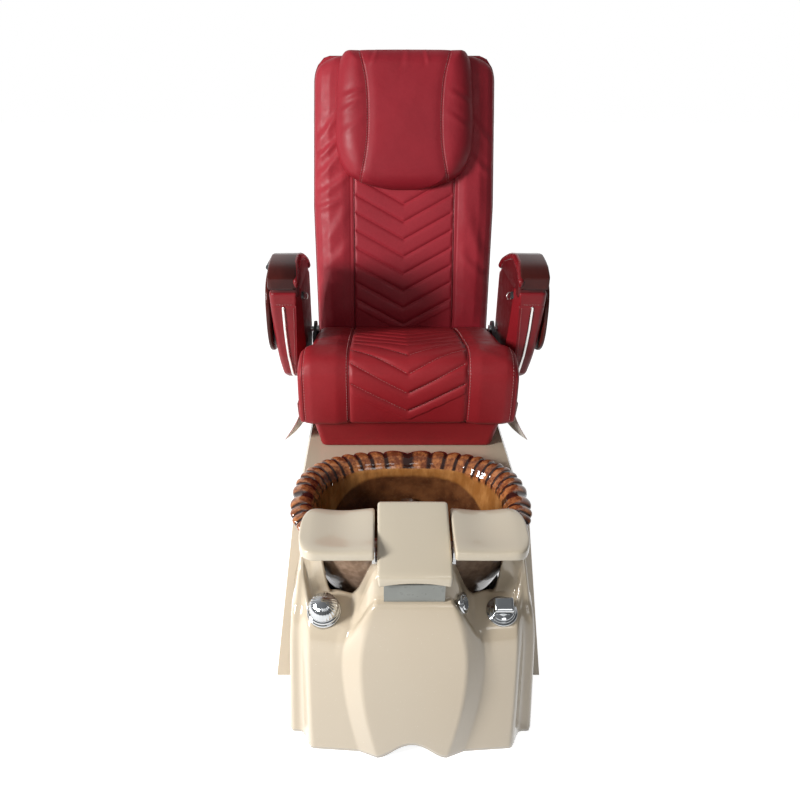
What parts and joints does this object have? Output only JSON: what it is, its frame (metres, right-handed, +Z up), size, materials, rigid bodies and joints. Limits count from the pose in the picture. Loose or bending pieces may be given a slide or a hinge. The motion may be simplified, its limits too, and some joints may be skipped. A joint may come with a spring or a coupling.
{
  "type": "pedicure spa chair",
  "caption": "Reclining pedicure chair on a stepped moulded base with a fluted amber glass foot bowl, adjustable footrest, flip-up arms and fold-out trays.",
  "frame": {"origin": "on the floor, on the centre plane, half-way along the base", "axes": "+X towards the sitter's left, +Y towards the rear, +Z up"},
  "size_m": [0.734, 1.3317, 1.3871],
  "materials": {
    "shell_beige": "high gloss gelcoat",
    "chassis_black": "satin powder coat",
    "rubber_black": "matt",
    "steel": "satin",
    "brass": "cast",
    "black_plastic": "fine grain",
    "amber_glass": "crackled amber, polished",
    "chrome": "polished",
    "white_plastic": "smooth",
    "pad_beige": "glossy self-skinned polyurethane",
    "guide_grey": "satin grey enamel",
    "frame_dark": "satin powder coat",
    "plywood": "birch plywood",
    "seat_leather": "semi-gloss upholstery leather, oxblood",
    "back_leather": "semi-gloss upholstery leather, burgundy",
    "pillow_leather": "semi-gloss upholstery leather, burgundy",
    "skirt_leather": "leather cloth over a stiff liner",
    "cover_red": "moulded, leather covered outside",
    "cap_mahogany": "lacquered dark mahogany red",
    "arm_leather": "burgundy upholstery leather",
    "trim_silver": "satin"
  },
  "bodies": {
    "base": {"base_shell": "shell_beige", "front_apron": "shell_beige", "chassis_frame": "chassis_black", "floor_pads": "rubber_black", "service_panel": "shell_beige", "panel_screws": "steel", "water_inlets": "brass", "power_inlet": "black_plastic", "glass_bowl": "amber_glass", "bowl_gasket": "rubber_black", "drain_strainer": "chrome", "drain_trap": "white_plastic", "jet_cover": "chrome", "jet_motor": "black_plastic", "mixer_flange": "chrome", "mixer_valve": "brass", "diverter_flange": "chrome", "diverter_valve": "brass", "switch_bezel": "chrome", "side_pad_left": "pad_beige", "side_pad_right": "pad_beige", "pad_brackets": "steel", "footrest_guide": "guide_grey", "slide_rails": "steel", "slide_actuator": "frame_dark"},
    "jet_rotor": {"jet_impeller": "black_plastic"},
    "mixer": {"mixer_knob": "chrome"},
    "diverter": {"diverter_lever": "chrome"},
    "air_button": {"switch_button": "chrome"},
    "footrest_lift": {"footrest_slider": "chrome", "footrest_pin": "steel"},
    "footrest": {"footrest_plate": "steel", "footrest_pad": "pad_beige"},
    "seat": {"actuator_rod": "chrome", "slide_runners": "white_plastic", "seat_frame": "frame_dark", "seat_board": "plywood", "seat_cushion": "seat_leather", "seat_skirt": "skirt_leather", "side_cover_left": "cover_red", "side_cover_right": "cover_red", "hinge_plates": "frame_dark", "recline_pins": "steel", "recline_hubs": "black_plastic"},
    "backrest": {"back_frame": "frame_dark", "back_cushion": "back_leather", "back_shell": "cover_red", "head_pillow": "pillow_leather"},
    "arm_l": {"arm_cap_left": "cap_mahogany", "arm_body_left": "arm_leather", "arm_trim_left": "trim_silver", "tray_hinge_left": "chrome"},
    "arm_r": {"arm_cap_right": "cap_mahogany", "arm_body_right": "arm_leather", "arm_trim_right": "trim_silver", "tray_hinge_right": "chrome"},
    "latch_l": {"arm_latch_left": "chrome"},
    "latch_r": {"arm_latch_right": "chrome"},
    "tray_l": {"tray_left": "cap_mahogany"},
    "tray_r": {"tray_right": "cap_mahogany"}
  },
  "joints": [
    {"name": "jet_spin", "type": "hinge", "parent": "base", "child": "jet_rotor", "pos_m": [0, -0.04, 0.329], "axis": [0, -1, 0], "continuous": true},
    {"name": "mixer_turn", "type": "hinge", "parent": "base", "child": "mixer", "pos_m": [-0.188, -0.426, 0.3286], "axis": [0, -0.3714, 0.9285], "range_deg": [-60, 60]},
    {"name": "diverter_turn", "type": "hinge", "parent": "base", "child": "diverter", "pos_m": [0.188, -0.426, 0.3286], "axis": [0, -0.3714, 0.9285], "range_deg": [0, 90]},
    {"name": "air_switch_press", "type": "slide", "parent": "base", "child": "air_button", "axis": [-0.8829, 0.3018, -0.3596], "range_m": [0, 0.003], "stiffness_N_per_m": 800},
    {"name": "footrest_height", "type": "slide", "parent": "base", "child": "footrest_lift", "axis": [0, 0, 1], "range_m": [0, 0.05]},
    {"name": "footrest_tilt", "type": "hinge", "parent": "footrest_lift", "child": "footrest", "pos_m": [0, -0.43453, 0.44345], "axis": [1, 0, 0], "range_deg": [0, 15]},
    {"name": "seat_slide", "type": "slide", "parent": "base", "child": "seat", "axis": [0, 1, 0], "range_m": [0, 0.15]},
    {"name": "back_recline", "type": "hinge", "parent": "seat", "child": "backrest", "pos_m": [0, 0.515, 0.575], "axis": [-1, 0, 0], "range_deg": [0, 25]},
    {"name": "arm_left_lift", "type": "hinge", "parent": "seat", "child": "arm_l", "pos_m": [0.278, 0.395, 0.65], "axis": [-1, 0, 0], "range_deg": [0, 80]},
    {"name": "arm_right_lift", "type": "hinge", "parent": "seat", "child": "arm_r", "pos_m": [-0.278, 0.395, 0.65], "axis": [-1, 0, 0], "range_deg": [0, 80]},
    {"name": "latch_left_pull", "type": "slide", "parent": "arm_l", "child": "latch_l", "axis": [-1, 0, 0], "range_m": [0, 0.008], "stiffness_N_per_m": 600},
    {"name": "latch_right_pull", "type": "slide", "parent": "arm_r", "child": "latch_r", "axis": [1, 0, 0], "range_m": [0, 0.008], "stiffness_N_per_m": 600},
    {"name": "tray_left_fold", "type": "hinge", "parent": "arm_l", "child": "tray_l", "pos_m": [0.36, 0.267, 0.884], "axis": [0, -1, 0], "range_deg": [0, 90]},
    {"name": "tray_right_fold", "type": "hinge", "parent": "arm_r", "child": "tray_r", "pos_m": [-0.36, 0.267, 0.884], "axis": [0, 1, 0], "range_deg": [0, 90]}
  ]
}
